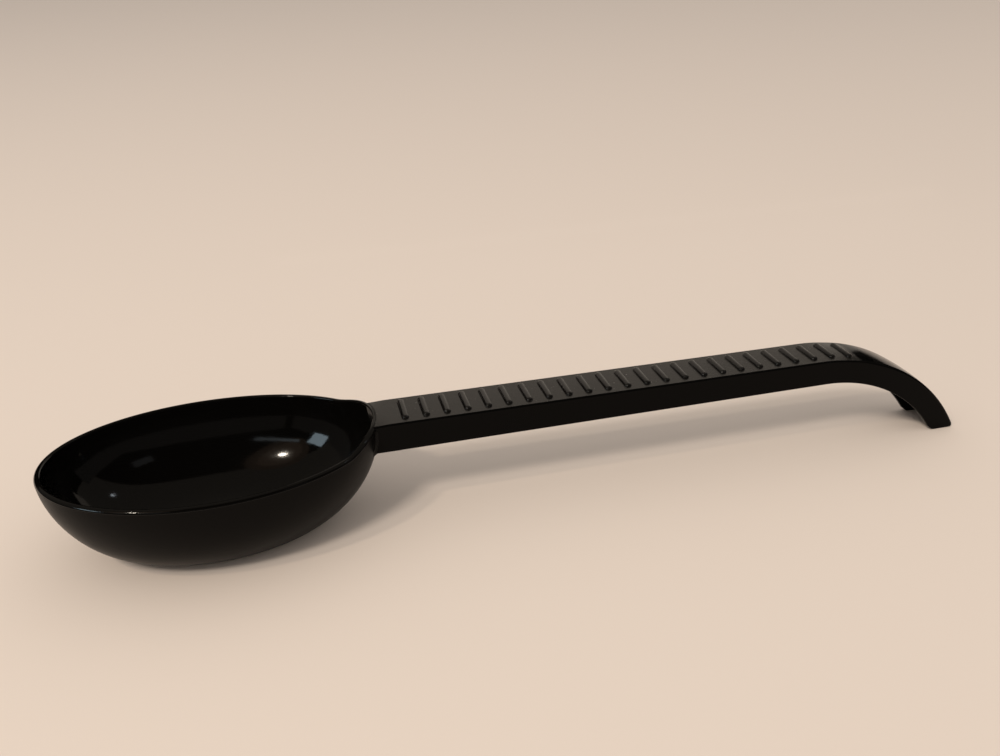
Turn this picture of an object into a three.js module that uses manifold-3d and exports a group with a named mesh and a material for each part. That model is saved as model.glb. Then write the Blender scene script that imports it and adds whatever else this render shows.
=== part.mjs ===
// A deep-bowled scoop with a ribbed, hooked handle, moulded in black plastic.
// Millimetres, +Z up, +X from the bowl to the hook. The origin is the middle of the bowl's flat base,
// on the table, and the scoop stands on that base and on the flat end of its hook.

import * as THREE from "three";
import { mergeVertices } from "three/addons/utils/BufferGeometryUtils.js";
import Module from "manifold-3d";

// Bowl
const BOWL_LENGTH = 83.2; // outside, at the rim
const BOWL_WIDTH = 57.7; // outside, at the rim
const BOWL_DEPTH = 23.9; // table to rim, at the middle of the bowl
const BOWL_WALL = 1.6;
const BOWL_FLOOR = 1.8;
const BASE_LENGTH = 35; // flat that the bowl stands on
const BASE_WIDTH = 24;
const BASE_OFFSET = 1.7; // base towards the nose, from the middle of the rim
const NOSE_FULLNESS = 0.01; // share by which the rim is wider on the nose's side than on the handle's
const SIDE_POWER = 1.84; // 2 makes the bowl's side a quarter ellipse, more makes it steeper at the rim
const RIM_BOW = 0.47; // rim's rise from the middle of the bowl to its ends
const RIM_SWEEP = 0.16; // share of the half length over which the rim sweeps up to the handle
const RIM_ROUND = 0.5; // rounding of the rim's outer edge

// Handle, a channel that is open below
const HANDLE_TOP = 26.7; // table to the top of the handle
const HANDLE_LENGTH = 123; // rim to the start of the bend
const NECK_LENGTH = 2.4; // part of that length that belongs to the bowl
const HANDLE_WIDTH_NECK = 15.1;
const HANDLE_WIDTH_HOOK = 14.2;
const SIDE_HEIGHT_NECK = 7.7; // outside height of the channel
const SIDE_HEIGHT_HOOK = 7;
const DECK_THICKNESS = 2;
const WALL_THICKNESS = 1.8;
const EDGE_ROUND = 0.5; // rounding of the handle's two top edges

// Hook
const HOOK_RADIUS = 48; // top of the handle round the bend

// Grip ribs
const RIB_COUNT = 24;
const RIB_START = 6.5; // rim to the middle of the first rib
const RIB_OVERRUN = 7.7; // start of the bend to the middle of the last rib
const RIB_WIDTH = 2;
const RIB_HEIGHT = 0.7;
const RIB_CROWN = 0.5; // narrow flat along the top of a rib
const RIB_MARGIN = 2.1; // end of a rib to the edge of the handle

// Fineness of the faceted surfaces
const RIM_STEPS = 72;
const SIDE_STEPS = 12;
const ROUND_STEPS = 2;
const HOOK_STEP_DEGREES = 4;
const RIB_END_STEPS = 4;
const RIB_CROWN_STEPS = 3;

const RIM_MIDDLE_X = BASE_OFFSET;
const RIM_END_X = RIM_MIDDLE_X + BOWL_LENGTH / 2;
const NECK_END_X = RIM_END_X + NECK_LENGTH;
const BEND_X = RIM_END_X + HANDLE_LENGTH;
const HOOK_CENTRE_Z = HANDLE_TOP - HOOK_RADIUS;
const RIB_PITCH = (HANDLE_LENGTH + RIB_OVERRUN - RIB_START) / (RIB_COUNT - 1);

const wasm = await Module();
wasm.setup();

// A closed solid through rings of points, each ring with as many points as the next, with a cap on each end.
function loft(rings) {
  const count = rings[0].length;
  const points = rings.flat();
  const index = [];
  for (let r = 0; r + 1 < rings.length; r++) {
    for (let i = 0; i < count; i++) {
      const a = r * count + i;
      const b = r * count + ((i + 1) % count);
      index.push(a, b, a + count, b, b + count, a + count);
    }
  }
  const last = (rings.length - 1) * count;
  const startMiddle = points.push(middleOf(rings[0])) - 1;
  const endMiddle = points.push(middleOf(rings[rings.length - 1])) - 1;
  for (let i = 0; i < count; i++) {
    const next = (i + 1) % count;
    index.push(startMiddle, next, i);
    index.push(endMiddle, last + i, last + next);
  }
  return facingOut(new THREE.BufferGeometry().setFromPoints(points).setIndex(index));
}

function middleOf(ring) {
  const sum = new THREE.Vector3();
  ring.forEach((point) => sum.add(point));
  return sum.divideScalar(ring.length);
}

// The same geometry with its triangles turned so that they face away from the solid.
function facingOut(geometry) {
  const index = geometry.index.array;
  const position = geometry.attributes.position;
  const corners = [new THREE.Vector3(), new THREE.Vector3(), new THREE.Vector3()];
  let volume = 0;
  for (let t = 0; t < index.length; t += 3) {
    corners.forEach((corner, k) => corner.fromBufferAttribute(position, index[t + k]));
    volume += corners[0].dot(corners[1].clone().cross(corners[2]));
  }
  if (volume < 0) {
    for (let t = 0; t < index.length; t += 3) {
      [index[t], index[t + 1]] = [index[t + 1], index[t]];
    }
  }
  return geometry;
}

function toSolid(geometry) {
  const merged = mergeVertices(geometry);
  const vertProperties = new Float32Array(merged.attributes.position.array);
  const triVerts = new Uint32Array(merged.index.array);
  return new wasm.Manifold(new wasm.Mesh({ numProp: 3, vertProperties, triVerts }));
}

function toGeometry(solid) {
  const mesh = solid.getMesh();
  const geometry = new THREE.BufferGeometry();
  const points = new Float32Array(mesh.vertProperties);
  geometry.setAttribute("position", new THREE.BufferAttribute(points, mesh.numProp));
  geometry.setIndex(new THREE.BufferAttribute(new Uint32Array(mesh.triVerts), 1));
  return geometry;
}

// One egg-shaped ring of the bowl. fall runs from 0 at the rim to 1 at the base, and spread from 1 to 0.
function bowlRing({ fall, spread, inset, floor }) {
  const halfLength = THREE.MathUtils.lerp(BASE_LENGTH, BOWL_LENGTH, spread) / 2 - inset;
  const halfWidth = THREE.MathUtils.lerp(BASE_WIDTH, BOWL_WIDTH, spread) / 2 - inset;
  const ring = [];
  for (let i = 0; i < RIM_STEPS; i++) {
    const angle = (i / RIM_STEPS) * 2 * Math.PI;
    const along = Math.cos(angle);
    const x = RIM_MIDDLE_X * spread + halfLength * along;
    const y = halfWidth * Math.sin(angle) * (1 - NOSE_FULLNESS * spread * along);
    ring.push(new THREE.Vector3(x, y, THREE.MathUtils.lerp(rimHeight(along, fall), floor, fall)));
  }
  return ring;
}

// Height of the rim at a place along the bowl, from -1 at the nose to 1 at the handle. Its sweep up to
// the handle fades out quickly below the rim.
function rimHeight(along, fall) {
  const sweep = HANDLE_TOP - BOWL_DEPTH - RIM_BOW;
  const nearHandle = THREE.MathUtils.smoothstep(along, 1 - RIM_SWEEP, 1);
  return BOWL_DEPTH + RIM_BOW * along ** 2 + sweep * nearHandle * (1 - fall) ** 3;
}

function bowlSideRings(inset, floor) {
  const rings = [];
  for (let i = 0; i <= SIDE_STEPS; i++) {
    const turn = (i / SIDE_STEPS) * (Math.PI / 2);
    rings.push(bowlRing({ fall: Math.sin(turn) ** (2 / SIDE_POWER), spread: Math.cos(turn), inset, floor }));
  }
  return rings;
}

function lowered(ring, drop) {
  return ring.map((point) => new THREE.Vector3(point.x, point.y, point.z - drop));
}

// Outside of the bowl as a full body: the land of the rim, its rounded outer edge, the side and the base.
function bowlOutside() {
  const rim = (inset) => bowlRing({ fall: 0, spread: 1, inset, floor: 0 });
  const rings = [rim(2 * BOWL_WALL)];
  for (let i = 0; i <= ROUND_STEPS; i++) {
    const turn = (i / ROUND_STEPS) * (Math.PI / 2);
    rings.push(lowered(rim(RIM_ROUND * (1 - Math.sin(turn))), RIM_ROUND * (1 - Math.cos(turn))));
  }
  return loft([...rings, ...bowlSideRings(0, 0).slice(1)]);
}

// Room inside the bowl, carried up past the rim so that it cuts through.
function bowlRoom() {
  const side = bowlSideRings(BOWL_WALL, BOWL_FLOOR);
  return loft([lowered(side[0], -HANDLE_TOP), ...side]);
}

function handleWidth(x) {
  return THREE.MathUtils.mapLinear(x, RIM_END_X, BEND_X, HANDLE_WIDTH_NECK, HANDLE_WIDTH_HOOK);
}

function sideHeight(x) {
  return THREE.MathUtils.mapLinear(x, RIM_END_X, BEND_X, SIDE_HEIGHT_NECK, SIDE_HEIGHT_HOOK);
}

// Cross-sections of the channel as [y, depth below the top] pairs. The deck's two top edges are rounded.
function deckSection(width, thickness) {
  const half = width / 2;
  const edge = [];
  for (let i = 0; i <= ROUND_STEPS; i++) {
    const turn = (i / ROUND_STEPS) * (Math.PI / 2);
    edge.push([half - EDGE_ROUND * (1 - Math.sin(turn)), EDGE_ROUND * (1 - Math.cos(turn))]);
  }
  const near = [...edge, [half, thickness]];
  const far = near.map(([y, depth]) => [-y, depth]).reverse();
  return [...near, ...far];
}

function wallSection(width, height, side) {
  const outer = side * (width / 2);
  const inner = side * (width / 2 - WALL_THICKNESS);
  return [[outer, DECK_THICKNESS], [outer, height], [inner, height], [inner, DECK_THICKNESS]];
}

function straightRing(section, x) {
  return section.map(([y, depth]) => new THREE.Vector3(x, y, HANDLE_TOP - depth));
}

function onBend(y, radius, angle) {
  return new THREE.Vector3(BEND_X + radius * Math.sin(angle), y, HOOK_CENTRE_Z + radius * Math.cos(angle));
}

function straightRun(sectionAt, startX, endX) {
  return loft([startX, endX].map((x) => straightRing(sectionAt(x), x)));
}

// A run round the bend and down to the table. Its rings turn a little more on the outside than on the inside,
// so that the last one lies flat on the table.
function bentRun(section) {
  const steps = Math.ceil(tableAngle(HOOK_RADIUS) / THREE.MathUtils.degToRad(HOOK_STEP_DEGREES));
  const rings = [];
  for (let i = 0; i <= steps; i++) {
    const ring = section.map(([y, depth]) => {
      const radius = HOOK_RADIUS - depth;
      return onBend(y, radius, (tableAngle(radius) * i) / steps);
    });
    rings.push(ring);
  }
  return loft(rings);
}

// Angle round the bend at which the given radius meets the table.
function tableAngle(radius) {
  return Math.acos(-HOOK_CENTRE_Z / radius);
}

const deckAt = (x) => deckSection(handleWidth(x), DECK_THICKNESS);
const wallAt = (side) => (x) => wallSection(handleWidth(x), sideHeight(x), side);
const hookWall = (side) => wallSection(HANDLE_WIDTH_HOOK, SIDE_HEIGHT_HOOK, side);
const LEFT = 1;
const RIGHT = -1;

// Bowl and neck in one: the neck starts inside the bowl's room, which then cuts it off along the inner wall.
function bowlGeometry() {
  const neckStart = RIM_END_X - BOWL_LENGTH / 4;
  const sections = [deckAt, wallAt(LEFT), wallAt(RIGHT)];
  const neck = sections.map((sectionAt) => toSolid(straightRun(sectionAt, neckStart, NECK_END_X)));
  const body = neck.reduce((sum, piece) => sum.add(piece), toSolid(bowlOutside()));
  return toGeometry(body.subtract(toSolid(bowlRoom())));
}

// One rib: a bar with round ends and a round crown, lying across the handle with its flat side down.
function ribGeometry(length) {
  const rings = [];
  for (let i = 0; i <= RIB_CROWN_STEPS; i++) {
    const turn = (i / RIB_CROWN_STEPS) * (Math.PI / 2);
    const radius = THREE.MathUtils.lerp(RIB_CROWN, RIB_WIDTH, Math.cos(turn)) / 2;
    rings.push(ribOutline((length - RIB_WIDTH) / 2, radius, RIB_HEIGHT * Math.sin(turn)));
  }
  return loft(rings);
}

function ribOutline(straightHalf, radius, z) {
  const outline = [];
  for (const end of [1, -1]) {
    for (let i = 0; i <= RIB_END_STEPS; i++) {
      const angle = (i / RIB_END_STEPS) * Math.PI;
      const y = straightHalf + radius * Math.sin(angle);
      outline.push(new THREE.Vector3(end * radius * Math.cos(angle), end * y, z));
    }
  }
  return outline;
}

// Places a rib on the top of the handle, or round the bend for those past its start.
function placeRib(mesh, run) {
  const angle = Math.max(0, run - HANDLE_LENGTH) / HOOK_RADIUS;
  const straight = Math.min(run, HANDLE_LENGTH);
  const place = onBend(0, HOOK_RADIUS, angle);
  mesh.position.set(place.x - HANDLE_LENGTH + straight, place.y, place.z);
  mesh.rotation.y = angle;
}

const scoop = new THREE.Group();

function addPiece(name, geometry, material) {
  const mesh = new THREE.Mesh(geometry, material);
  mesh.name = name;
  scoop.add(mesh);
  return mesh;
}

const glossyBlack = () => new THREE.MeshStandardMaterial({ color: 0x0c0b0a, roughness: 0.18, metalness: 0 });
const satinBlack = () => new THREE.MeshStandardMaterial({ color: 0x161412, roughness: 0.45, metalness: 0 });

addPiece("bowl", bowlGeometry(), glossyBlack());
addPiece("handle_deck", straightRun(deckAt, NECK_END_X, BEND_X), satinBlack());
addPiece("handle_wall_left", straightRun(wallAt(LEFT), NECK_END_X, BEND_X), glossyBlack());
addPiece("handle_wall_right", straightRun(wallAt(RIGHT), NECK_END_X, BEND_X), glossyBlack());
addPiece("hook_deck", bentRun(deckSection(HANDLE_WIDTH_HOOK, DECK_THICKNESS)), glossyBlack());
addPiece("hook_wall_left", bentRun(hookWall(LEFT)), glossyBlack());
addPiece("hook_wall_right", bentRun(hookWall(RIGHT)), glossyBlack());

for (let i = 0; i < RIB_COUNT; i++) {
  const run = RIB_START + i * RIB_PITCH;
  const length = handleWidth(RIM_END_X + Math.min(run, HANDLE_LENGTH)) - 2 * RIB_MARGIN;
  const rib = addPiece(`grip_rib_${String(i + 1).padStart(2, "0")}`, ribGeometry(length), satinBlack());
  placeRib(rib, run);
}

export default scoop;
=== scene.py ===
"""Dresses a deep-bowled black scoop: smooth mouldings over its frame, finishes, floor, light and camera.

Sizes are in millimetres and meshes in metres. +X runs from the bowl to the hook, +Z is up, and the origin is
the middle of the bowl's flat base on the table.
"""

import logging
import math
from dataclasses import dataclass
from enum import Enum
from typing import Sequence

import bmesh
import bpy
from mathutils import Matrix, Vector


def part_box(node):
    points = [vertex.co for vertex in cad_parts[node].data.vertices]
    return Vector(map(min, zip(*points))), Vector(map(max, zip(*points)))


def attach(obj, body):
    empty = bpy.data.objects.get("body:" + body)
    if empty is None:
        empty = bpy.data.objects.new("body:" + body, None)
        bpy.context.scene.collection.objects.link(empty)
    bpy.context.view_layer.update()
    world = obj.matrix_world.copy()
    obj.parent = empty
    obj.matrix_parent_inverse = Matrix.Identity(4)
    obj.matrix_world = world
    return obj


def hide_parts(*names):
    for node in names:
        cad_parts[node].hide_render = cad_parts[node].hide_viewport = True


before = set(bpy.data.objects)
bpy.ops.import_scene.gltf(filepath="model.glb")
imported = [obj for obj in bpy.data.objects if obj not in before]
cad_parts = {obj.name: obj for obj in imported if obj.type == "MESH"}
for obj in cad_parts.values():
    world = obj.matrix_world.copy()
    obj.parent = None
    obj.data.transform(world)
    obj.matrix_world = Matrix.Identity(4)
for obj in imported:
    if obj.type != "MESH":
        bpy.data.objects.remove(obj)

MM = 0.001
QUARTER = math.pi / 2
BODY = "root"

Point = tuple[float, float, float]
Colour = tuple[float, float, float, float]
Ring = list[Point]
Section = list[tuple[float, float]]
Socket = bpy.types.NodeSocket
Material = bpy.types.Material

log = logging.getLogger("scoop")


class Slot(Enum):
    """Material slots of the record."""

    BOWL = "bowl_gloss"
    HANDLE = "handle_gloss"
    GRIP = "grip_satin"


def lerp(start: float, end: float, share: float) -> float:
    """Value that lies a share of the way from start to end."""
    return start + (end - start) * share


def smoothstep(value: float, low: float, high: float) -> float:
    """Smooth rise from 0 at low to 1 at high."""
    share = min(max((value - low) / (high - low), 0.0), 1.0)
    return share * share * (3.0 - 2.0 * share)


def corners(node: str) -> tuple[Vector, Vector]:
    """Lowest and highest corner of a CAD node in millimetres."""
    low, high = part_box(node)
    return Vector(low) / MM, Vector(high) / MM


def arc(steps: int) -> list[float]:
    """Angles of a quarter turn, both ends included."""
    return [QUARTER * i / steps for i in range(steps + 1)]


def bend(radius: float, steps: int) -> Section:
    """Points of a quarter round, as their distances from the two sides of the sharp corner."""
    return [(radius * (1.0 - math.cos(turn)), radius * (1.0 - math.sin(turn))) for turn in arc(steps)]


def loft(name: str, rings: Sequence[Ring], sharp_degrees: float) -> bpy.types.Object:
    """Skins a row of closed rings and closes both ends.

    Args:
        name: name of the new object.
        rings: rings in millimetres, each with as many points as the next.
        sharp_degrees: edges that turn by more than this stay sharp.

    Returns:
        The object, linked to the scene, with its faces turned outwards.
    """
    count = len(rings[0])
    form = bmesh.new()
    rows = [[form.verts.new(Vector(point) * MM) for point in ring] for ring in rings]
    for low, high in zip(rows, rows[1:]):
        for i in range(count):
            j = (i + 1) % count
            form.faces.new((low[i], low[j], high[j], high[i]))
    form.faces.new(rows[0])
    form.faces.new(rows[-1])
    bmesh.ops.recalc_face_normals(form, faces=form.faces)
    mesh = bpy.data.meshes.new(name)
    form.to_mesh(mesh)
    form.free()
    mesh.shade_smooth()
    mesh.set_sharp_from_angle(angle=math.radians(sharp_degrees))
    piece = bpy.data.objects.new(name, mesh)
    bpy.context.scene.collection.objects.link(piece)
    return piece


def settle(piece: bpy.types.Object, nodes: Sequence[str]) -> None:
    """Hands a piece to the frame.

    Args:
        piece: piece of the visual model.
        nodes: CAD nodes that it stands for.
    """
    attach(piece, BODY)
    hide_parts(*nodes)
    log.info("%s stands for %s", piece.name, ", ".join(nodes))


@dataclass(frozen=True)
class Layout:
    """Main lines of the scoop in millimetres, read from the frame.

    The rim's end lies one neck's length before the end of the bowl's node.
    """

    nose_x: float
    rim_end_x: float
    bend_x: float
    top_z: float
    rim_half_width: float
    neck_half_width: float
    hook_half_width: float
    hook_radius: float

    @classmethod
    def from_frame(cls, neck_length: float) -> "Layout":
        """Reads the lines from the boxes of the CAD nodes.

        Args:
            neck_length: length of the handle's stub on the bowl's node.

        Returns:
            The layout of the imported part.
        """
        bowl_low, bowl_high = corners("bowl")
        deck_low, deck_high = corners("handle_deck")
        hook_low, hook_high = corners("hook_deck")
        top = deck_high.z
        reach = hook_high.x - deck_high.x
        return cls(
            nose_x=bowl_low.x,
            rim_end_x=deck_low.x - neck_length,
            bend_x=deck_high.x,
            top_z=top,
            rim_half_width=bowl_high.y,
            neck_half_width=deck_high.y,
            hook_half_width=hook_high.y,
            hook_radius=(reach**2 + top**2) / (2.0 * top),
        )


@dataclass(frozen=True)
class HandlePath:
    """Top line of the handle: straight from the rim to the bend, then round the bend."""

    layout: Layout
    side_height_neck: float = 7.7
    side_height_hook: float = 7.0
    crown: float = 0.32
    crown_start: float = -2.0
    crown_end: float = 7.0

    @property
    def straight(self) -> float:
        """Length from the rim to the bend."""
        return self.layout.bend_x - self.layout.rim_end_x

    @property
    def centre_z(self) -> float:
        """Height of the bend's centre."""
        return self.layout.top_z - self.layout.hook_radius

    def half_width(self, run: float) -> float:
        """Half the handle's width at a run along it."""
        share = min(run / self.straight, 1.0)
        return lerp(self.layout.neck_half_width, self.layout.hook_half_width, share)

    def side_height(self, run: float) -> float:
        """Height of the handle's side at a run along it."""
        return lerp(self.side_height_neck, self.side_height_hook, min(run / self.straight, 1.0))

    def crown_at(self, run: float) -> float:
        """Fall of the top from its middle to its edges, which grows from nothing round the bend."""
        past = run - self.straight
        return self.crown * smoothstep(past, self.crown_start, self.crown_end)

    def fall(self, run: float, y: float) -> float:
        """Depth of the crowned top to one side of its middle."""
        return self.crown_at(run) * (y / self.half_width(run)) ** 2

    def on_bend(self, angle: float, y: float, depth: float) -> Point:
        """Point at an angle round the bend, to one side and below the top."""
        radius = self.layout.hook_radius - depth
        return (self.layout.bend_x + radius * math.sin(angle), y, self.centre_z + radius * math.cos(angle))

    def place(self, run: float, y: float, depth: float) -> Point:
        """Point at a run along the handle, to one side and below the top."""
        if run <= self.straight:
            return (self.layout.rim_end_x + run, y, self.layout.top_z - depth)
        return self.on_bend((run - self.straight) / self.layout.hook_radius, y, depth)

    def angle_at_height(self, depth: float, z: float) -> float:
        """Angle round the bend at which a line below the top comes down to a height."""
        return math.acos((z - self.centre_z) / (self.layout.hook_radius - depth))


@dataclass(frozen=True)
class BowlFace:
    """One face of the bowl's wall, which curves from the rim down to a flat.

    The inset is the distance inwards from the outside at the rim, the floor the height of the flat, and the
    power the fullness of the curve, 2 for an ellipse.
    """

    inset: float
    floor: float
    power: float
    flat_length: float
    flat_width: float


@dataclass
class Bowl:
    """Deep oval bowl with a rounded rim that sweeps up to the handle."""

    layout: Layout
    path: HandlePath
    outer_face: BowlFace = BowlFace(inset=0.0, floor=0.0, power=1.84, flat_length=35.0, flat_width=24.0)
    inner_face: BowlFace = BowlFace(inset=1.6, floor=1.8, power=1.9, flat_length=31.0, flat_width=17.0)
    depth: float = 23.9
    nose_fullness: float = 0.01
    rim_bow: float = 0.47
    rim_sweep: float = 0.22
    sweep_power: int = 3
    outer_round: float = 1.0
    inner_round: float = 0.5
    thickening: float = 0.25
    root_round: float = 0.8
    root_fade_start: float = 0.6
    root_fade_end: float = 1.6
    around: int = 288
    around_crowding: float = 0.7
    side_rings: int = 44
    side_crowding: float = 1.4
    round_steps: int = 8
    floor_shares: tuple[float, ...] = (0.02, 0.2, 0.4, 0.6, 0.8, 0.93)
    rim_clearance: float = 0.1
    rim_tries: int = 12
    sharp_degrees: float = 60.0

    @property
    def middle_x(self) -> float:
        """Middle of the rim along the scoop."""
        return (self.layout.nose_x + self.layout.rim_end_x) / 2.0

    @property
    def length(self) -> float:
        """Outside length of the rim."""
        return self.layout.rim_end_x - self.layout.nose_x

    def angles(self) -> list[float]:
        """Angles round the bowl, crowded together at the handle."""
        turns = [2.0 * math.pi * i / self.around for i in range(self.around)]
        return [turn - self.around_crowding * math.sin(turn) for turn in turns]

    def rim_height(self, along: float, fall: float) -> float:
        """Height of the rim, whose sweep up to the handle fades out below it.

        Args:
            along: -1 at the nose to 1 at the handle.
            fall: 0 at the rim to 1 at the flat.

        Returns:
            The height in millimetres.
        """
        sweep = self.layout.top_z - self.depth - self.rim_bow
        near_handle = smoothstep(along, 1.0 - self.rim_sweep, 1.0)
        return self.depth + self.rim_bow * along**2 + sweep * near_handle * (1.0 - fall) ** self.sweep_power

    def point(self, face: BowlFace, angle: float, fall: float, spread: float, inset: float) -> Point:
        """Point of the bowl's surface.

        Args:
            face: face of the wall that the point lies on.
            angle: angle round the bowl, 0 at the handle.
            fall: 0 at the rim to 1 at the flat.
            spread: 1 at the rim's outline to 0 at the flat's outline.
            inset: distance inwards from the outside.

        Returns:
            The point in millimetres.
        """
        half_length = lerp(face.flat_length, self.length, spread) / 2.0 - inset
        half_width = lerp(face.flat_width / 2.0, self.layout.rim_half_width, spread) - inset
        along = math.cos(angle)
        x = self.middle_x * spread + half_length * along
        y = half_width * math.sin(angle) * (1.0 - self.nose_fullness * spread * along)
        return (x, y, lerp(self.rim_height(along, fall), face.floor, fall))

    def ring(self, face: BowlFace, fall: float, spread: float, inset: float) -> Ring:
        """One ring round the bowl."""
        return [self.point(face, angle, fall, spread, inset) for angle in self.angles()]

    def rim_ring(self, inset: float, drop: float) -> Ring:
        """Ring at the rim, set in and lowered."""
        return [(x, y, z - drop) for x, y, z in self.ring(self.outer_face, 0.0, 1.0, inset)]

    def rim_angle(self, y: float, inset: float) -> float:
        """Angle at which the rim's outline passes a distance to one side near the handle.

        Args:
            y: distance to one side.
            inset: distance by which the outline is set in.

        Returns:
            The angle, 0 at the handle.
        """
        angle = 0.0
        for _ in range(self.rim_tries):
            width = (self.layout.rim_half_width - inset) * (1.0 - self.nose_fullness * math.cos(angle))
            angle = math.asin(max(-1.0, min(1.0, y / width)))
        return angle

    def rim_place(self, y: float, inset: float) -> tuple[float, float]:
        """Distance along the scoop and height of the rim at a distance y to one side near the handle."""
        x, _, z = self.point(self.outer_face, self.rim_angle(y, inset), 0.0, 1.0, inset)
        return x, z

    def side(self, face: BowlFace) -> list[Ring]:
        """Makes the rings of one face.

        Args:
            face: face of the wall.

        Returns:
            The rings from just below the rim's rounding down to the flat.
        """
        start = math.asin(((self.outer_round + self.rim_clearance) / self.depth) ** (face.power / 2.0))
        rings = []
        for i in range(self.side_rings + 1):
            turn = lerp(start, QUARTER, (i / self.side_rings) ** self.side_crowding)
            fall = math.sin(turn) ** (2.0 / face.power)
            set_in = face.inset * (1.0 + self.thickening * fall)
            rings.append(self.ring(face, fall, math.cos(turn), set_in))
        return rings

    def root_flare(self, x: float, y: float, z: float) -> float:
        """How far the outside swells towards the handle, as a fillet round the handle's root.

        Args:
            x: place along the scoop.
            y: place to one side.
            z: height.

        Returns:
            The distance in millimetres.
        """
        if x < self.middle_x:
            return 0.0
        aside = abs(y) - self.path.half_width(0.0)
        below = self.layout.top_z - self.path.side_height(0.0) - z
        gap = math.hypot(aside, below) if aside > 0.0 and below > 0.0 else max(aside, below)
        rise = 1.0 - min(max(gap / self.root_round, 0.0), 1.0)
        fade = smoothstep(self.layout.top_z - z, self.root_fade_start, self.root_fade_end)
        return fade * self.root_round * (1.0 - math.sqrt(1.0 - rise**2))

    def outside(self) -> list[Ring]:
        """Makes the rings of the outside.

        Returns:
            The rings from the middle of the base up to the edge of the rim.
        """
        side = self.side(self.outer_face)[::-1]
        base = [[(x * share, y * share, z) for x, y, z in side[0]] for share in self.floor_shares]
        edge = [self.rim_ring(inset, drop) for inset, drop in bend(self.outer_round, self.round_steps)]
        flared = [[(x + self.root_flare(x, y, z), y, z) for x, y, z in ring] for ring in side + edge]
        return base + flared

    def inside(self) -> list[Ring]:
        """Makes the rings of the inside.

        Returns:
            The rings from the edge of the rim down to the middle of the floor.
        """
        rounding = bend(self.inner_round, self.round_steps)
        edge = [self.rim_ring(self.inner_face.inset - back, drop) for drop, back in rounding]
        side = self.side(self.inner_face)
        floor = [[(x * share, y * share, z) for x, y, z in side[-1]] for share in self.floor_shares[::-1]]
        return edge + side + floor

    def build(self, outside: Material, inside: Material) -> None:
        """Makes the bowl's mesh, dresses it and hands it to the frame.

        Args:
            outside: finish from the base up to the first band of the rim's rounding.
            inside: finish of the rest of the rim and from there down to the floor.
        """
        outer, inner = self.outside(), self.inside()
        piece = loft("bowl_shell", outer + inner, self.sharp_degrees)
        piece.data.materials.append(outside)
        piece.data.materials.append(inside)
        faces = piece.data.polygons
        first_glossy = (len(outer) - self.round_steps) * self.around
        base = len(faces) - 2
        for face in faces:
            face.material_index = int(face.index >= first_glossy and face.index != base)
        settle(piece, ["bowl"])


@dataclass
class GripRibs:
    """Half-round bars across the top of the handle."""

    path: HandlePath
    count: int = 24
    start: float = 6.5
    overrun: float = 7.7
    width: float = 1.85
    height: float = 0.7
    margin: float = 2.1
    foot_round: float = 0.1
    sunk: float = 0.2
    tip_share: float = 0.04
    land: float = 1.6
    crown_steps: int = 7
    foot_steps: int = 4
    end_steps: int = 14
    sharp_degrees: float = 60.0

    def runs(self) -> list[float]:
        """Middle of each rib as a run along the handle."""
        last = self.path.straight + self.overrun
        return [lerp(self.start, last, i / (self.count - 1)) for i in range(self.count)]

    def grip_end(self) -> float:
        """Run at which the satin face ends, a little past the last rib."""
        return self.runs()[-1] + self.width / 2.0 + self.foot_round + self.land

    def profile(self) -> Section:
        """Half the rib's cross-section.

        Returns:
            Offsets from the middle line and heights, from foot to crown.
        """
        half = self.width / 2.0
        foot = [(half + out, up) for up, out in bend(self.foot_round, self.foot_steps)]
        crown = [
            (half * math.cos(turn), lerp(self.foot_round, self.height, math.sin(turn)))
            for turn in arc(self.crown_steps)[1:-1]
        ]
        tip = (half * self.tip_share, self.height)
        return [(foot[0][0], -self.sunk), *foot, *crown, tip]

    def outline(self, run: float, offset: float, height: float) -> Ring:
        """Makes one ring round a rib.

        Args:
            run: middle of the rib as a run along the handle.
            offset: distance from the middle line.
            height: height above the handle.

        Returns:
            The ring.
        """
        straight_half = self.path.half_width(run) - self.margin - self.width / 2.0
        ring = []
        for side in (1.0, -1.0):
            for i in range(self.end_steps + 1):
                turn = math.pi * i / self.end_steps
                along = side * offset * math.cos(turn)
                across = side * (straight_half + offset * math.sin(turn))
                depth = self.path.fall(run, across) - height
                ring.append(self.path.place(run + along, across, depth))
        return ring

    def build(self, finish: Material) -> None:
        """Makes each rib's mesh, dresses it and hands it to the frame.

        Args:
            finish: finish of the ribs.
        """
        for number, run in enumerate(self.runs(), start=1):
            rings = [self.outline(run, offset, height) for offset, height in self.profile()]
            piece = loft(f"rib_{number:02d}", rings, self.sharp_degrees)
            piece.data.materials.append(finish)
            settle(piece, [f"grip_rib_{number:02d}"])


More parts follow.
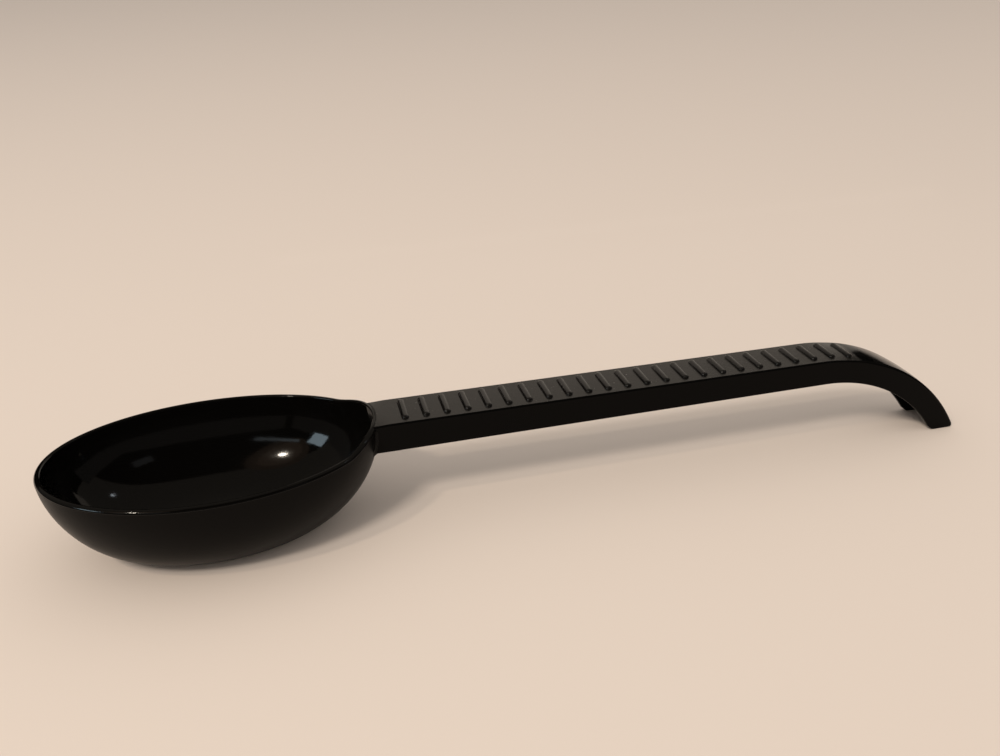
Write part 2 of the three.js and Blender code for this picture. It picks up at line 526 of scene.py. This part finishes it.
@dataclass
class GripSkin:
    """Satin face on the flat top of the handle, a hair proud of it, from the rim to past the last rib."""

    path: HandlePath
    bowl: Bowl
    end: float
    margin: float = 0.45
    proud: float = 0.02
    sunk: float = 0.3
    rim_inset: float = 0.55
    across_steps: int = 8
    lead_length: float = 5.0
    lead_fade: float = 0.7
    lead_steps: int = 12
    step: float = 1.5
    sharp_degrees: float = 50.0

    def section(self, run: float) -> Section:
        """Cross-section of the face.

        Args:
            run: run along the handle.

        Returns:
            Sideways places and depths, clockwise from the middle of the top.
        """
        half = self.path.half_width(run) - self.margin
        sides = [half * i / self.across_steps for i in range(self.across_steps + 1)]
        top = [(y, self.path.fall(run, y) - self.proud) for y in sides]
        right = [*top, (half, self.path.fall(run, half) + self.sunk)]
        left = [(-y, depth) for y, depth in right[:0:-1]]
        return right + left

    def lead_ring(self, share: float) -> Ring:
        """Ring near the bowl, where the face starts along the rim and level with it.

        Args:
            share: 0 at the rim to 1 at the end of the lead.

        Returns:
            The ring.
        """
        ring = []
        for y, depth in self.section(0.0):
            rim_x, rim_z = self.bowl.rim_place(y, self.rim_inset)
            x = lerp(rim_x, self.path.layout.rim_end_x + self.lead_length, share)
            sink = (self.path.layout.top_z - rim_z) * (1.0 - smoothstep(share, 0.0, self.lead_fade))
            ring.append((x, y, self.path.layout.top_z - depth - sink))
        return ring

    def build(self, finish: Material) -> None:
        """Makes the face's mesh, dresses it and hands it to the frame.

        Args:
            finish: finish of the face.
        """
        rings = [self.lead_ring(i / self.lead_steps) for i in range(self.lead_steps)]
        steps = math.ceil((self.end - self.lead_length) / self.step)
        for i in range(steps + 1):
            run = lerp(self.lead_length, self.end, i / steps)
            rings.append([self.path.place(run, y, depth) for y, depth in self.section(run)])
        piece = loft("grip_skin", rings, self.sharp_degrees)
        piece.data.materials.append(finish)
        settle(piece, ["handle_deck"])


@dataclass
class HandleChannel:
    """Glossy channel of the handle and its hook, open below and cut flat where the hook stands."""

    path: HandlePath
    bowl: Bowl
    grip_end: float
    wall: float = 1.8
    deck: float = 2.0
    grip_edge_round: float = 0.5
    edge_round: float = 0.8
    edge_lead: float = 6.0
    lower_round: float = 0.4
    corner_round: float = 0.8
    draft: float = 0.2
    foot_height: float = 2.0
    foot_round: float = 0.25
    heel_round: float = 3.2
    toe_round: float = 1.4
    embed: float = 1.0
    rim_gap: float = 0.05
    rim_gap_power: int = 4
    round_steps: int = 6
    across_steps: int = 8
    side_shares: tuple[float, ...] = (0.08, 0.5, 0.92)
    lead_length: float = 5.0
    lead_fade: float = 0.7
    lead_steps: int = 12
    step: float = 1.5
    foot_steps: int = 12
    foot_crowding: int = 2
    sharp_degrees: float = 50.0

    def top(self, run: float, inset: float) -> Section:
        """Half the top with its rounded edge.

        Args:
            run: run along the handle.
            inset: distance by which the outline is set in.

        Returns:
            Sideways places and depths from the middle to the start of the side.
        """
        half = self.path.half_width(run) - inset
        grown = smoothstep(run, self.grip_end, self.grip_end + self.edge_lead)
        edge_round = lerp(self.grip_edge_round, self.edge_round, grown) - inset
        flat = half - edge_round
        sides = [flat * i / self.across_steps for i in range(self.across_steps + 1)]
        points = [(y, inset + self.path.fall(run, y)) for y in sides]
        start = points[-1][1]
        for turn in arc(self.round_steps)[1:]:
            y = flat + edge_round * math.sin(turn)
            points.append((y, start + edge_round * (1.0 - math.cos(turn))))
        return points

    def section(self, run: float, inset: float) -> Section:
        """Cross-section of the channel as sideways place and depth, clockwise from the middle of the top.

        Args:
            run: run along the handle.
            inset: distance by which the whole outline is set in.

        Returns:
            The closed outline.
        """
        half = self.path.half_width(run) - inset
        height = self.path.side_height(run) - inset
        inner = self.path.half_width(run) - self.wall + inset
        lower = bend(self.lower_round - inset, self.round_steps)
        outer_edge = [(half - first, height - second) for first, second in lower]
        inner_edge = [(inner + self.draft + second, height - first) for first, second in lower]
        upper = bend(self.corner_round + inset, self.round_steps)
        corner = [(inner - first, self.deck - inset + second) for first, second in upper]
        roof = [(0.0, self.deck - inset)]
        top = self.top(run, inset)
        low, high = top[-1][1], outer_edge[0][1]
        side = [(half, lerp(low, high, share)) for share in self.side_shares]
        right = top + side + outer_edge + inner_edge + corner + roof
        left = [(-y, depth) for y, depth in right[-2:0:-1]]
        return right + left

    def lead_ring(self, share: float) -> Ring:
        """Ring near the bowl. The first lies inside the bowl's wall with its top just under the rim.

        Args:
            share: 0 for the first ring to 1 at the end of the lead.

        Returns:
            The ring.
        """
        ring = []
        top_z = self.path.layout.top_z
        for y, depth in self.section(0.0, 0.0):
            wall_x = self.bowl.rim_place(y, 0.0)[0] - self.embed
            rim_z = self.bowl.rim_place(y, self.bowl.outer_round)[1]
            x = lerp(wall_x, self.path.layout.rim_end_x + self.lead_length, share)
            fade = 1.0 - smoothstep(share, 0.0, self.lead_fade)
            sink = (top_z - rim_z) * fade + self.rim_gap * (1.0 - share) ** self.rim_gap_power
            ring.append((x, y, top_z - depth - sink * max(0.0, 1.0 - depth / self.deck)))
        return ring

    def grip_rings(self) -> list[Ring]:
        """Rings along the grip.

        Returns:
            The rings from the end of the lead towards the end of the grip.
        """
        steps = math.ceil((self.grip_end - self.lead_length) / self.step)
        rings = []
        for i in range(steps):
            run = lerp(self.lead_length, self.grip_end, i / steps)
            rings.append([self.path.place(run, y, depth) for y, depth in self.section(run, 0.0)])
        return rings

    def hook_rings(self) -> list[Ring]:
        """Rings round the bend, which turn level on their way down to the foot.

        Returns:
            The rings from the end of the grip towards the foot.
        """
        radius = self.path.layout.hook_radius
        start = (self.grip_end - self.path.straight) / radius
        length = radius * (self.path.angle_at_height(0.0, self.foot_height) - start)
        steps = math.ceil(length / self.step)
        rings = []
        for i in range(steps):
            ring = []
            for y, depth in self.section(self.grip_end + length * i / steps, 0.0):
                angle = lerp(start, self.path.angle_at_height(depth, self.foot_height), i / steps)
                ring.append(self.path.on_bend(angle, y, depth))
            rings.append(ring)
        return rings

    def rounding(self, radius: float, slope: float, height: float) -> float:
        """How far a rounded edge of the foot lies inside the sharp one.

        Args:
            radius: radius of the rounding.
            slope: angle inside the edge, between the foot's flat and the face above it.
            height: height above the table.

        Returns:
            The distance square to the face above.
        """
        reach = radius / math.tan(slope / 2.0)
        if height >= reach * math.sin(slope):
            return 0.0
        bulge = math.sqrt(radius**2 - (radius - height) ** 2)
        return (reach - bulge - height / math.tan(slope)) * math.sin(slope)

    def foot_ring(self, height: float, inset: float) -> Ring:
        """Level ring of the hook's foot.

        Args:
            height: height above the table.
            inset: distance by which the whole outline is set in.

        Returns:
            The ring, with the walls' lower edges and the top's edge rounded off towards the table.
        """
        deep = self.path.side_height_hook
        toe = self.rounding(self.toe_round, self.path.angle_at_height(0.0, 0.0), height)
        heel = self.rounding(self.heel_round, math.pi - self.path.angle_at_height(deep, 0.0), height)
        ring = []
        for y, depth in self.section(self.grip_end + self.edge_lead, inset):
            set_depth = max(min(depth, deep - heel), toe)
            ring.append(self.path.on_bend(self.path.angle_at_height(set_depth, height), y, set_depth))
        return ring

    def foot_rings(self) -> list[Ring]:
        """Rings of the hook's foot.

        Returns:
            The rings from the top of the foot down to the table.
        """
        lift = self.foot_height - self.foot_round
        rings = [
            self.foot_ring(self.foot_round + lift * (1.0 - i / self.foot_steps) ** self.foot_crowding, 0.0)
            for i in range(self.foot_steps + 1)
        ]
        for turn in arc(self.round_steps)[1:]:
            low = self.foot_round * (1.0 - math.sin(turn))
            rings.append(self.foot_ring(low, self.foot_round * (1.0 - math.cos(turn))))
        return rings

    def build(self, finish: Material) -> None:
        """Makes the channel's mesh, dresses it and hands it to the frame.

        Args:
            finish: finish of the channel.
        """
        rings = [self.lead_ring(i / self.lead_steps) for i in range(self.lead_steps)]
        rings += self.grip_rings() + self.hook_rings() + self.foot_rings()
        piece = loft("handle_channel", rings, self.sharp_degrees)
        piece.data.materials.append(finish)
        walls = [f"{part}_wall_{side}" for part in ("handle", "hook") for side in ("left", "right")]
        settle(piece, [*walls, "hook_deck"])


@dataclass(frozen=True)
class Mottle:
    """A noise pattern: its fineness, its octaves and the values between which it fades in."""

    fineness: float
    detail: float
    low: float
    high: float


SMUDGES = Mottle(60.0, 4.0, 0.42, 0.7)
STREAKS = Mottle(420.0, 2.0, 0.45, 0.8)
# Patches over which the paler edges come and go; these edges are part wear and part painted highlight.
RUBBED_AND_HIGHLIT_PATCHES = Mottle(900.0, 3.0, 0.4, 0.7)
DUST_SPECKS = Mottle(1500.0, 2.0, 0.72, 0.76)
SMUDGE_SHARE = 0.7
STREAK_SHARE = 0.3
GRAIN_DETAIL = 3.0
WAVE_FINENESS = 45.0
WAVE_DETAIL = 1.0
# Pointiness range over which edges turn paler, as wear and as a painted edge highlight.
WORN_AND_HIGHLIT_EDGE = (0.52, 0.62)
LYING_FACE = (0.3, 0.9)


class NodeSheet:
    """Short hand for building one node tree."""

    def __init__(self, tree: bpy.types.NodeTree) -> None:
        """Starts on a tree, which may already hold nodes."""
        self.tree = tree

    def add(self, kind: str, **values: object) -> bpy.types.Node:
        """Adds a node and sets its properties.

        Args:
            kind: type of the node.
            **values: properties by name.

        Returns:
            The node.
        """
        node = self.tree.nodes.new(kind)
        for name, value in values.items():
            setattr(node, name, value)
        return node

    def link(self, output: Socket, target: Socket) -> None:
        """Joins an output to an input."""
        self.tree.links.new(output, target)

    def feed(self, target: Socket, value: object) -> None:
        """Gives an input its value.

        Args:
            target: the input.
            value: socket to join, or number or colour to set.
        """
        if isinstance(value, Socket):
            self.link(value, target)
        else:
            target.default_value = value

    def math(self, operation: str, first: object, second: object) -> Socket:
        """Adds a math node on two sockets or numbers.

        Args:
            operation: name of the operation.
            first: first socket or number.
            second: second socket or number.

        Returns:
            The result's socket.
        """
        node = self.add("ShaderNodeMath", operation=operation)
        for socket, value in zip(node.inputs, (first, second)):
            self.feed(socket, value)
        return node.outputs[0]

    def noise(self, vector: Socket, scale: object, detail: float) -> Socket:
        """Adds a noise texture.

        Args:
            vector: place on the surface.
            scale: socket or number for the fineness.
            detail: number of octaves.

        Returns:
            The noise's value.
        """
        node = self.add("ShaderNodeTexNoise")
        node.inputs["Detail"].default_value = detail
        self.link(vector, node.inputs["Vector"])
        self.feed(node.inputs["Scale"], scale)
        return node.outputs["Fac"]

    def ramp(self, value: Socket, low: float, high: float) -> Socket:
        """Adds a smooth step.

        Args:
            value: socket to map.
            low: value that gives 0.
            high: value that gives 1.

        Returns:
            The result's socket.
        """
        node = self.add("ShaderNodeMapRange", interpolation_type="SMOOTHSTEP")
        self.link(value, node.inputs["Value"])
        node.inputs["From Min"].default_value = low
        node.inputs["From Max"].default_value = high
        return node.outputs["Result"]

    def mottle(self, place: Socket, pattern: Mottle) -> Socket:
        """Adds a noise pattern that fades in between two values."""
        return self.ramp(self.noise(place, pattern.fineness, pattern.detail), pattern.low, pattern.high)

    def mix(self, share: Socket, first: object, second: object) -> Socket:
        """Adds a mix of two colours.

        Args:
            share: socket for the share of the second.
            first: first colour or its socket.
            second: second colour or its socket.

        Returns:
            The mixed colour's socket.
        """
        node = self.add("ShaderNodeMix", data_type="RGBA")
        self.link(share, node.inputs["Factor"])
        for name, value in (("A", first), ("B", second)):
            self.feed(next(q for q in node.inputs if q.name == name and q.type == "RGBA"), value)
        return next(q for q in node.outputs if q.type == "RGBA")


class EffectGroup:
    """A shader effect that several finishes share, with named inputs and outputs."""

    def __init__(self, name: str, inputs: dict[str, str], outputs: dict[str, str]) -> None:
        """Makes the empty group.

        Args:
            name: name of the group.
            inputs: socket kind of each input by name.
            outputs: socket kind of each output by name.
        """
        self.tree = bpy.data.node_groups.new(name, "ShaderNodeTree")
        for label, kind in inputs.items():
            self.tree.interface.new_socket(label, in_out="INPUT", socket_type=kind)
        for label, kind in outputs.items():
            self.tree.interface.new_socket(label, in_out="OUTPUT", socket_type=kind)
        self.sheet = NodeSheet(self.tree)
        self.given = self.sheet.add("NodeGroupInput").outputs
        self.result = self.sheet.add("NodeGroupOutput").inputs

    def place(self, sheet: NodeSheet, values: dict[str, object]) -> bpy.types.Node:
        """Places the group in a material.

        Args:
            sheet: node tree of the material.
            values: socket or number for each input by name.

        Returns:
            The group's node.
        """
        node = sheet.add("ShaderNodeGroup", node_tree=self.tree)
        for label, value in values.items():
            sheet.feed(node.inputs[label], value)
        return node


def grain_group() -> EffectGroup:
    """Fine grain and slow waviness of a moulded surface, as a height.

    Returns:
        The effect's group.
    """
    group = EffectGroup(
        "moulded_grain",
        {"Place": "NodeSocketVector", "Fineness": "NodeSocketFloat", "Waviness": "NodeSocketFloat"},
        {"Height": "NodeSocketFloat"},
    )
    sheet = group.sheet
    fine = sheet.noise(group.given["Place"], group.given["Fineness"], GRAIN_DETAIL)
    slow = sheet.noise(group.given["Place"], WAVE_FINENESS, WAVE_DETAIL)
    waves = sheet.math("MULTIPLY", slow, group.given["Waviness"])
    sheet.link(sheet.math("ADD", fine, waves), group.result["Height"])
    return group


def handling_group() -> EffectGroup:
    """Smudges and faint rubbing from hands, as a roughness.

    Returns:
        The effect's group.
    """
    group = EffectGroup(
        "handling_marks",
        {"Place": "NodeSocketVector", "Clean": "NodeSocketFloat", "Smudged": "NodeSocketFloat"},
        {"Roughness": "NodeSocketFloat"},
    )
    sheet = group.sheet
    patches = sheet.math("MULTIPLY", sheet.mottle(group.given["Place"], SMUDGES), SMUDGE_SHARE)
    streaks = sheet.math("MULTIPLY", sheet.mottle(group.given["Place"], STREAKS), STREAK_SHARE)
    marks = sheet.math("ADD", patches, streaks)
    span = sheet.math("SUBTRACT", group.given["Smudged"], group.given["Clean"])
    rise = sheet.math("MULTIPLY", span, marks)
    sheet.link(sheet.math("ADD", group.given["Clean"], rise), group.result["Roughness"])
    return group


def wear_and_highlight_group() -> EffectGroup:
    """Paler plastic along edges, part wear and part painted highlight, and a few settled specks of dust, as
    a colour.

    Returns:
        The effect's group.
    """
    group = EffectGroup(
        "edge_wear_highlight_and_dust",
        {
            "Place": "NodeSocketVector",
            "Plastic": "NodeSocketColor",
            "Worn And Highlight": "NodeSocketColor",
            "Dust": "NodeSocketColor",
            "Wear And Highlight": "NodeSocketFloat",
            "Dustiness": "NodeSocketFloat",
        },
        {"Color": "NodeSocketColor"},
    )
    sheet = group.sheet
    geometry = sheet.add("ShaderNodeNewGeometry")
    # Painted highlight and wear: sharp edges and rib crowns turn paler. On the grip this stands in for the
    # light that their crowns catch.
    edges = sheet.ramp(geometry.outputs["Pointiness"], *WORN_AND_HIGHLIT_EDGE)
    patchy = sheet.mottle(group.given["Place"], RUBBED_AND_HIGHLIT_PATCHES)
    worn_and_highlight = sheet.math("MULTIPLY", sheet.math("MULTIPLY", edges, patchy), group.given["Wear And Highlight"])
    upright = sheet.add("ShaderNodeSeparateXYZ")
    sheet.link(geometry.outputs["Normal"], upright.inputs["Vector"])
    specks = sheet.mottle(group.given["Place"], DUST_SPECKS)
    lying = sheet.math("MULTIPLY", specks, sheet.ramp(upright.outputs["Z"], *LYING_FACE))
    dusty = sheet.math("MULTIPLY", lying, group.given["Dustiness"])
    rubbed_and_highlit = sheet.mix(worn_and_highlight, group.given["Plastic"], group.given["Worn And Highlight"])
    sheet.link(sheet.mix(dusty, rubbed_and_highlit, group.given["Dust"]), group.result["Color"])
    return group


@dataclass(frozen=True)
class PlasticFinish:
    """One finish of the black plastic."""

    name: str
    colour: Colour
    # Paler colour of sharp edges: subtle wear on the bowl and handle, mostly a painted highlight on the
    # grip.
    worn_and_highlight: Colour
    roughness: float
    smudged: float
    specular: float
    fineness: float
    waviness: float
    bump_height: float
    wear_and_highlight: float = 0.5
    dustiness: float = 0.0
    dust: Colour = (0.35, 0.32, 0.28, 1.0)

    def material(self, effects: dict[str, EffectGroup]) -> Material:
        """Makes the material.

        Args:
            effects: shared effect groups by name.

        Returns:
            The material.
        """
        material = bpy.data.materials.new(self.name)
        material.use_nodes = True
        sheet = NodeSheet(material.node_tree)
        shader = material.node_tree.nodes["Principled BSDF"]
        shader.inputs["Specular IOR Level"].default_value = self.specular
        place = sheet.add("ShaderNodeTexCoord").outputs["Object"]
        # Base colour with paler edges, which are part wear and part painted highlight, and with dust specks.
        wear_and_highlight = effects["wear_and_highlight"].place(
            sheet,
            {
                "Place": place,
                "Plastic": self.colour,
                "Worn And Highlight": self.worn_and_highlight,
                "Dust": self.dust,
                "Wear And Highlight": self.wear_and_highlight,
                "Dustiness": self.dustiness,
            },
        )
        sheet.link(wear_and_highlight.outputs["Color"], shader.inputs["Base Color"])
        marks = effects["handling"].place(
            sheet, {"Place": place, "Clean": self.roughness, "Smudged": self.smudged}
        )
        sheet.link(marks.outputs["Roughness"], shader.inputs["Roughness"])
        grain = effects["grain"].place(
            sheet, {"Place": place, "Fineness": self.fineness, "Waviness": self.waviness}
        )
        bump = sheet.add("ShaderNodeBump")
        bump.inputs["Strength"].default_value = 1.0
        bump.inputs["Distance"].default_value = self.bump_height * MM
        sheet.link(grain.outputs["Height"], bump.inputs["Height"])
        sheet.link(bump.outputs["Normal"], shader.inputs["Normal"])
        return material


BOWL_INSIDE = PlasticFinish(
    name="mirror_black_bowl_inside",
    colour=(0.0018, 0.0015, 0.0012, 1.0),
    worn_and_highlight=(0.005, 0.0046, 0.0042, 1.0),
    roughness=0.06,
    smudged=0.13,
    specular=0.32,
    fineness=900.0,
    waviness=1.2,
    bump_height=0.008,
)
BOWL_OUTSIDE = PlasticFinish(
    name="soft_gloss_black_bowl_outside",
    colour=(0.0032, 0.0028, 0.0024, 1.0),
    worn_and_highlight=(0.006, 0.0056, 0.0052, 1.0),
    roughness=0.3,
    smudged=0.38,
    specular=0.06,
    fineness=1100.0,
    waviness=1.0,
    bump_height=0.012,
)
GLOSSY_HANDLE = PlasticFinish(
    name="glossy_black_handle",
    colour=(0.0018, 0.0016, 0.0014, 1.0),
    worn_and_highlight=(0.006, 0.0056, 0.0052, 1.0),
    roughness=0.1,
    smudged=0.2,
    specular=0.055,
    fineness=900.0,
    waviness=1.2,
    bump_height=0.01,
)
SATIN_GRIP = PlasticFinish(
    name="satin_black_grip",
    colour=(0.0032, 0.0026, 0.0021, 1.0),
    # Painted highlight: this pale edge colour lightens the ribs' crowns and the grip's edges as if they
    # caught the light.
    worn_and_highlight=(0.024, 0.0215, 0.019, 1.0),
    roughness=0.23,
    smudged=0.29,
    specular=0.5,
    fineness=2600.0,
    waviness=0.6,
    bump_height=0.03,
    dustiness=0.3,
)


@dataclass(frozen=True)
class SoftLamp:
    """A square area lamp that looks at the scoop."""

    name: str
    place: Point
    size: float
    watts: float
    colour: tuple[float, float, float]
    in_reflections: bool
    aim: Point = (47.4, 0.0, 10.0)

    def build(self) -> None:
        """Makes the lamp."""
        light = bpy.data.lights.new(self.name, "AREA")
        light.shape = "SQUARE"
        light.size = self.size * MM
        light.energy = self.watts
        light.color = self.colour
        lamp = bpy.data.objects.new(self.name, light)
        lamp.location = Vector(self.place) * MM
        lamp.rotation_euler = (Vector(self.aim) - Vector(self.place)).to_track_quat("-Z", "Y").to_euler()
        lamp.visible_camera = False
        lamp.visible_glossy = self.in_reflections
        bpy.context.scene.collection.objects.link(lamp)
        log.info("lamp %s", self.name)


class CardShape(Enum):
    """Outlines of the reflection cards, by their number of corners."""

    SQUARE = 4
    ROUND = 32

    def corners(self) -> Section:
        """Corners of the outline.

        Returns:
            Shares of half the card's width and height.
        """
        if self is CardShape.SQUARE:
            return [(-1.0, -1.0), (1.0, -1.0), (1.0, 1.0), (-1.0, 1.0)]
        turns = [2.0 * math.pi * i / self.value for i in range(self.value)]
        return [(math.cos(turn), math.sin(turn)) for turn in turns]


@dataclass(frozen=True)
class ReflectionCard:
    """A glowing card that only reflections see."""

    name: str
    centre: Point
    width: float
    height: float
    colour: Colour
    strength: float
    aim: Point
    shape: CardShape = CardShape.SQUARE

    def outline(self) -> list[Vector]:
        """Corners of the card, which faces its aim with its width level.

        Returns:
            The corners in millimetres.
        """
        centre = Vector(self.centre)
        ahead = Vector(self.aim) - centre
        across = ahead.cross(Vector((0.0, 0.0, 1.0))).normalized() * (self.width / 2.0)
        rise = across.cross(ahead).normalized() * (self.height / 2.0)
        return [centre + across * right + rise * up for right, up in self.shape.corners()]

    def build(self) -> None:
        """Makes the card."""
        outline = self.outline()
        mesh = bpy.data.meshes.new(self.name)
        mesh.from_pydata([corner * MM for corner in outline], [], [tuple(range(len(outline)))])
        material = bpy.data.materials.new(self.name)
        material.use_nodes = True
        sheet = NodeSheet(material.node_tree)
        glow = sheet.add("ShaderNodeEmission")
        glow.inputs["Color"].default_value = self.colour
        glow.inputs["Strength"].default_value = self.strength
        sheet.link(glow.outputs["Emission"], material.node_tree.nodes["Material Output"].inputs["Surface"])
        mesh.materials.append(material)
        card = bpy.data.objects.new(self.name, mesh)
        card.visible_camera = False
        card.visible_diffuse = False
        card.visible_shadow = False
        bpy.context.scene.collection.objects.link(card)
        log.info("card %s", self.name)


LAMP_SPOT: Point = (17.4, 19.0, 9.0)
ROOM_MIDDLE_X = 7.4
ROOM_HEIGHT = 380.0
ROOM_COLOUR: Colour = (1.0, 0.92, 0.84, 1.0)
ROOM_STRENGTH = 0.09


def wall_card(
    name: str, centre: Point, size: tuple[float, float], colour: Colour, strength: float
) -> ReflectionCard:
    """Upright card along the scoop, in front of it or behind it."""
    return ReflectionCard(name, centre, *size, colour, strength, aim=(centre[0], 0.0, centre[2]))


def room_side_card(name: str, centre: Point, width: float) -> ReflectionCard:
    """Upright card across the scoop, beyond its nose or its hook."""
    aim = (ROOM_MIDDLE_X, centre[1], centre[2])
    return ReflectionCard(name, centre, width, ROOM_HEIGHT, ROOM_COLOUR, ROOM_STRENGTH, aim)


def glow_card(
    name: str, centre: Point, size: tuple[float, float], colour: Colour, strength: float
) -> ReflectionCard:
    """Round card behind the small lamp, which makes the glow round its reflection in the bowl."""
    return ReflectionCard(name, centre, *size, colour, strength, LAMP_SPOT, CardShape.ROUND)


@dataclass(frozen=True)
class PhotoCamera:
    """Camera at the photograph's angle."""

    focal_pixels: float = 978.4
    image_width: float = 1000.0
    sensor_width: float = 36.0
    place: Point = (27.56, -225.40, 138.57)
    yaw: float = 0.2102
    pitch: float = 0.4336
    roll: float = -0.0459
    nearest: float = 5.0
    farthest: float = 100000.0

    def build(self) -> None:
        """Makes the camera and gives it to the scene."""
        ahead = Vector(
            (
                math.sin(self.yaw) * math.cos(self.pitch),
                math.cos(self.yaw) * math.cos(self.pitch),
                -math.sin(self.pitch),
            )
        )
        level = Vector((math.cos(self.yaw), -math.sin(self.yaw), 0.0))
        upright = level.cross(ahead)
        right = level * math.cos(self.roll) + upright * math.sin(self.roll)
        up = upright * math.cos(self.roll) - level * math.sin(self.roll)
        data = bpy.data.cameras.new("photo_camera")
        data.sensor_fit = "HORIZONTAL"
        data.sensor_width = self.sensor_width
        data.lens = self.focal_pixels / self.image_width * self.sensor_width
        data.clip_start = self.nearest * MM
        data.clip_end = self.farthest * MM
        camera = bpy.data.objects.new("photo_camera", data)
        turn = Matrix((right, up, -ahead)).transposed().to_4x4()
        camera.matrix_world = Matrix.Translation(Vector(self.place) * MM) @ turn
        bpy.context.scene.collection.objects.link(camera)
        bpy.context.scene.camera = camera


@dataclass(frozen=True)
class Studio:
    """Plain pale floor and soft light."""

    floor_size: float = 30000.0
    floor_colour: Colour = (0.686, 0.571, 0.479, 1.0)
    floor_roughness: float = 0.9
    floor_specular: float = 0.1
    fill_colour: Colour = (0.71, 0.71, 0.71, 1.0)
    backdrop_colour: Colour = (0.58, 0.5, 0.43, 1.0)
    lamps: tuple[SoftLamp, ...] = (
        SoftLamp("key_lamp", (-1339.6, -1590.0, 2157.0), 510.0, 42.0, (1.0, 0.96, 0.91), False),
        SoftLamp("small_lamp", (-518.0, -364.0, 786.0), 50.0, 1.5, (1.0, 0.9, 0.76), True),
    )
    cards: tuple[ReflectionCard, ...] = (
        wall_card("back_card", (193.4, 233.0, 60.0), (352.0, 120.0), (1.0, 0.88, 0.75, 1.0), 0.6),
        wall_card("upper_card", (188.4, 233.0, 165.0), (362.0, 90.0), (1.0, 0.87, 0.73, 1.0), 0.43),
        ReflectionCard(
            name="ceiling_card",
            centre=(7.4, 1270.0, 2000.0),
            width=12000.0,
            height=3620.0,
            colour=(1.0, 0.88, 0.74, 1.0),
            strength=0.16,
            aim=(7.4, 1271.0, 0.0),
        ),
        ReflectionCard(
            name="window_card",
            centre=(-478.0, -156.0, 285.0),
            width=140.0,
            height=120.0,
            colour=(0.72, 0.9, 1.0, 1.0),
            strength=5.0,
            aim=(27.4, 17.0, 13.0),
        ),
        ReflectionCard(
            name="rail_card",
            centre=(-310.0, -356.0, 345.0),
            width=260.0,
            height=34.0,
            colour=(0.85, 0.95, 1.0, 1.0),
            strength=1.0,
            aim=(16.4, 21.0, 13.0),
        ),
        glow_card("inner_glow_card", (-530.0, -372.0, 803.0), (200.0, 300.0), (1.0, 0.7, 0.5, 1.0), 0.45),
        glow_card("middle_glow_card", (-561.0, -395.0, 848.0), (370.0, 570.0), (1.0, 0.68, 0.48, 1.0), 0.35),
        glow_card("outer_glow_card", (-614.0, -432.0, 925.0), (620.0, 850.0), (1.0, 0.68, 0.48, 1.0), 0.2),
        ReflectionCard(
            name="side_card",
            centre=(464.0, -542.0, 523.0),
            width=190.0,
            height=110.0,
            colour=(0.95, 0.97, 1.0, 1.0),
            strength=0.22,
            aim=(-19.6, 19.0, 13.0),
        ),
        ReflectionCard(
            name="glint_card",
            centre=(523.0, 68.0, 588.0),
            width=30.0,
            height=30.0,
            colour=(0.85, 0.93, 1.0, 1.0),
            strength=13.0,
            aim=(-25.6, 10.0, 9.0),
        ),
        wall_card(
            "front_room_card", (127.4, -1000.0, 330.0), (1960.0, ROOM_HEIGHT), ROOM_COLOUR, ROOM_STRENGTH
        ),
        room_side_card("left_room_card", (-992.6, -100.0, 330.0), 1800.0),
        room_side_card("right_room_card", (1107.4, -425.0, 330.0), 1150.0),
    )

    def floor(self) -> None:
        """Makes the floor."""
        half = self.floor_size * MM / 2.0
        mesh = bpy.data.meshes.new("floor")
        square = [(-half, -half, 0.0), (half, -half, 0.0), (half, half, 0.0), (-half, half, 0.0)]
        mesh.from_pydata(square, [], [(0, 1, 2, 3)])
        material = bpy.data.materials.new("pale_floor")
        material.use_nodes = True
        shader = material.node_tree.nodes["Principled BSDF"]
        shader.inputs["Base Color"].default_value = self.floor_colour
        shader.inputs["Roughness"].default_value = self.floor_roughness
        shader.inputs["Specular IOR Level"].default_value = self.floor_specular
        mesh.materials.append(material)
        floor = bpy.data.objects.new("floor", mesh)
        bpy.context.scene.collection.objects.link(floor)

    def surroundings(self) -> None:
        """Makes the world: an even fill, a pale backdrop for the camera, and nothing in reflections."""
        world = bpy.data.worlds.new("studio")
        world.use_nodes = True
        world.cycles_visibility.glossy = False
        bpy.context.scene.world = world
        sheet = NodeSheet(world.node_tree)
        rays = sheet.add("ShaderNodeLightPath")
        colour = sheet.mix(rays.outputs["Is Camera Ray"], self.fill_colour, self.backdrop_colour)
        sheet.link(colour, world.node_tree.nodes["Background"].inputs["Color"])

    def build(self) -> None:
        """Sets up floor, world, lamps and cards."""
        self.floor()
        self.surroundings()
        for lamp in self.lamps:
            lamp.build()
        for card in self.cards:
            card.build()


def main() -> None:
    """Builds the scoop's pieces in order, dresses them and sets the stage."""
    logging.basicConfig(level=logging.INFO, format="%(name)s: %(message)s")
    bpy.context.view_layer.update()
    bpy.context.scene.view_settings.view_transform = "Standard"
    layout = Layout.from_frame(neck_length=2.4)
    path = HandlePath(layout)
    bowl = Bowl(layout, path)
    ribs = GripRibs(path)
    skin = GripSkin(path, bowl, ribs.grip_end())
    channel = HandleChannel(path, bowl, ribs.grip_end())
    effects = {"grain": grain_group(), "handling": handling_group(), "wear_and_highlight": wear_and_highlight_group()}
    grip_finish = SATIN_GRIP.material(effects)
    bowl.build(BOWL_OUTSIDE.material(effects), BOWL_INSIDE.material(effects))
    channel.build(GLOSSY_HANDLE.material(effects))
    skin.build(grip_finish)
    ribs.build(grip_finish)
    Studio().build()
    PhotoCamera().build()


if __name__ == "__main__":
    main()
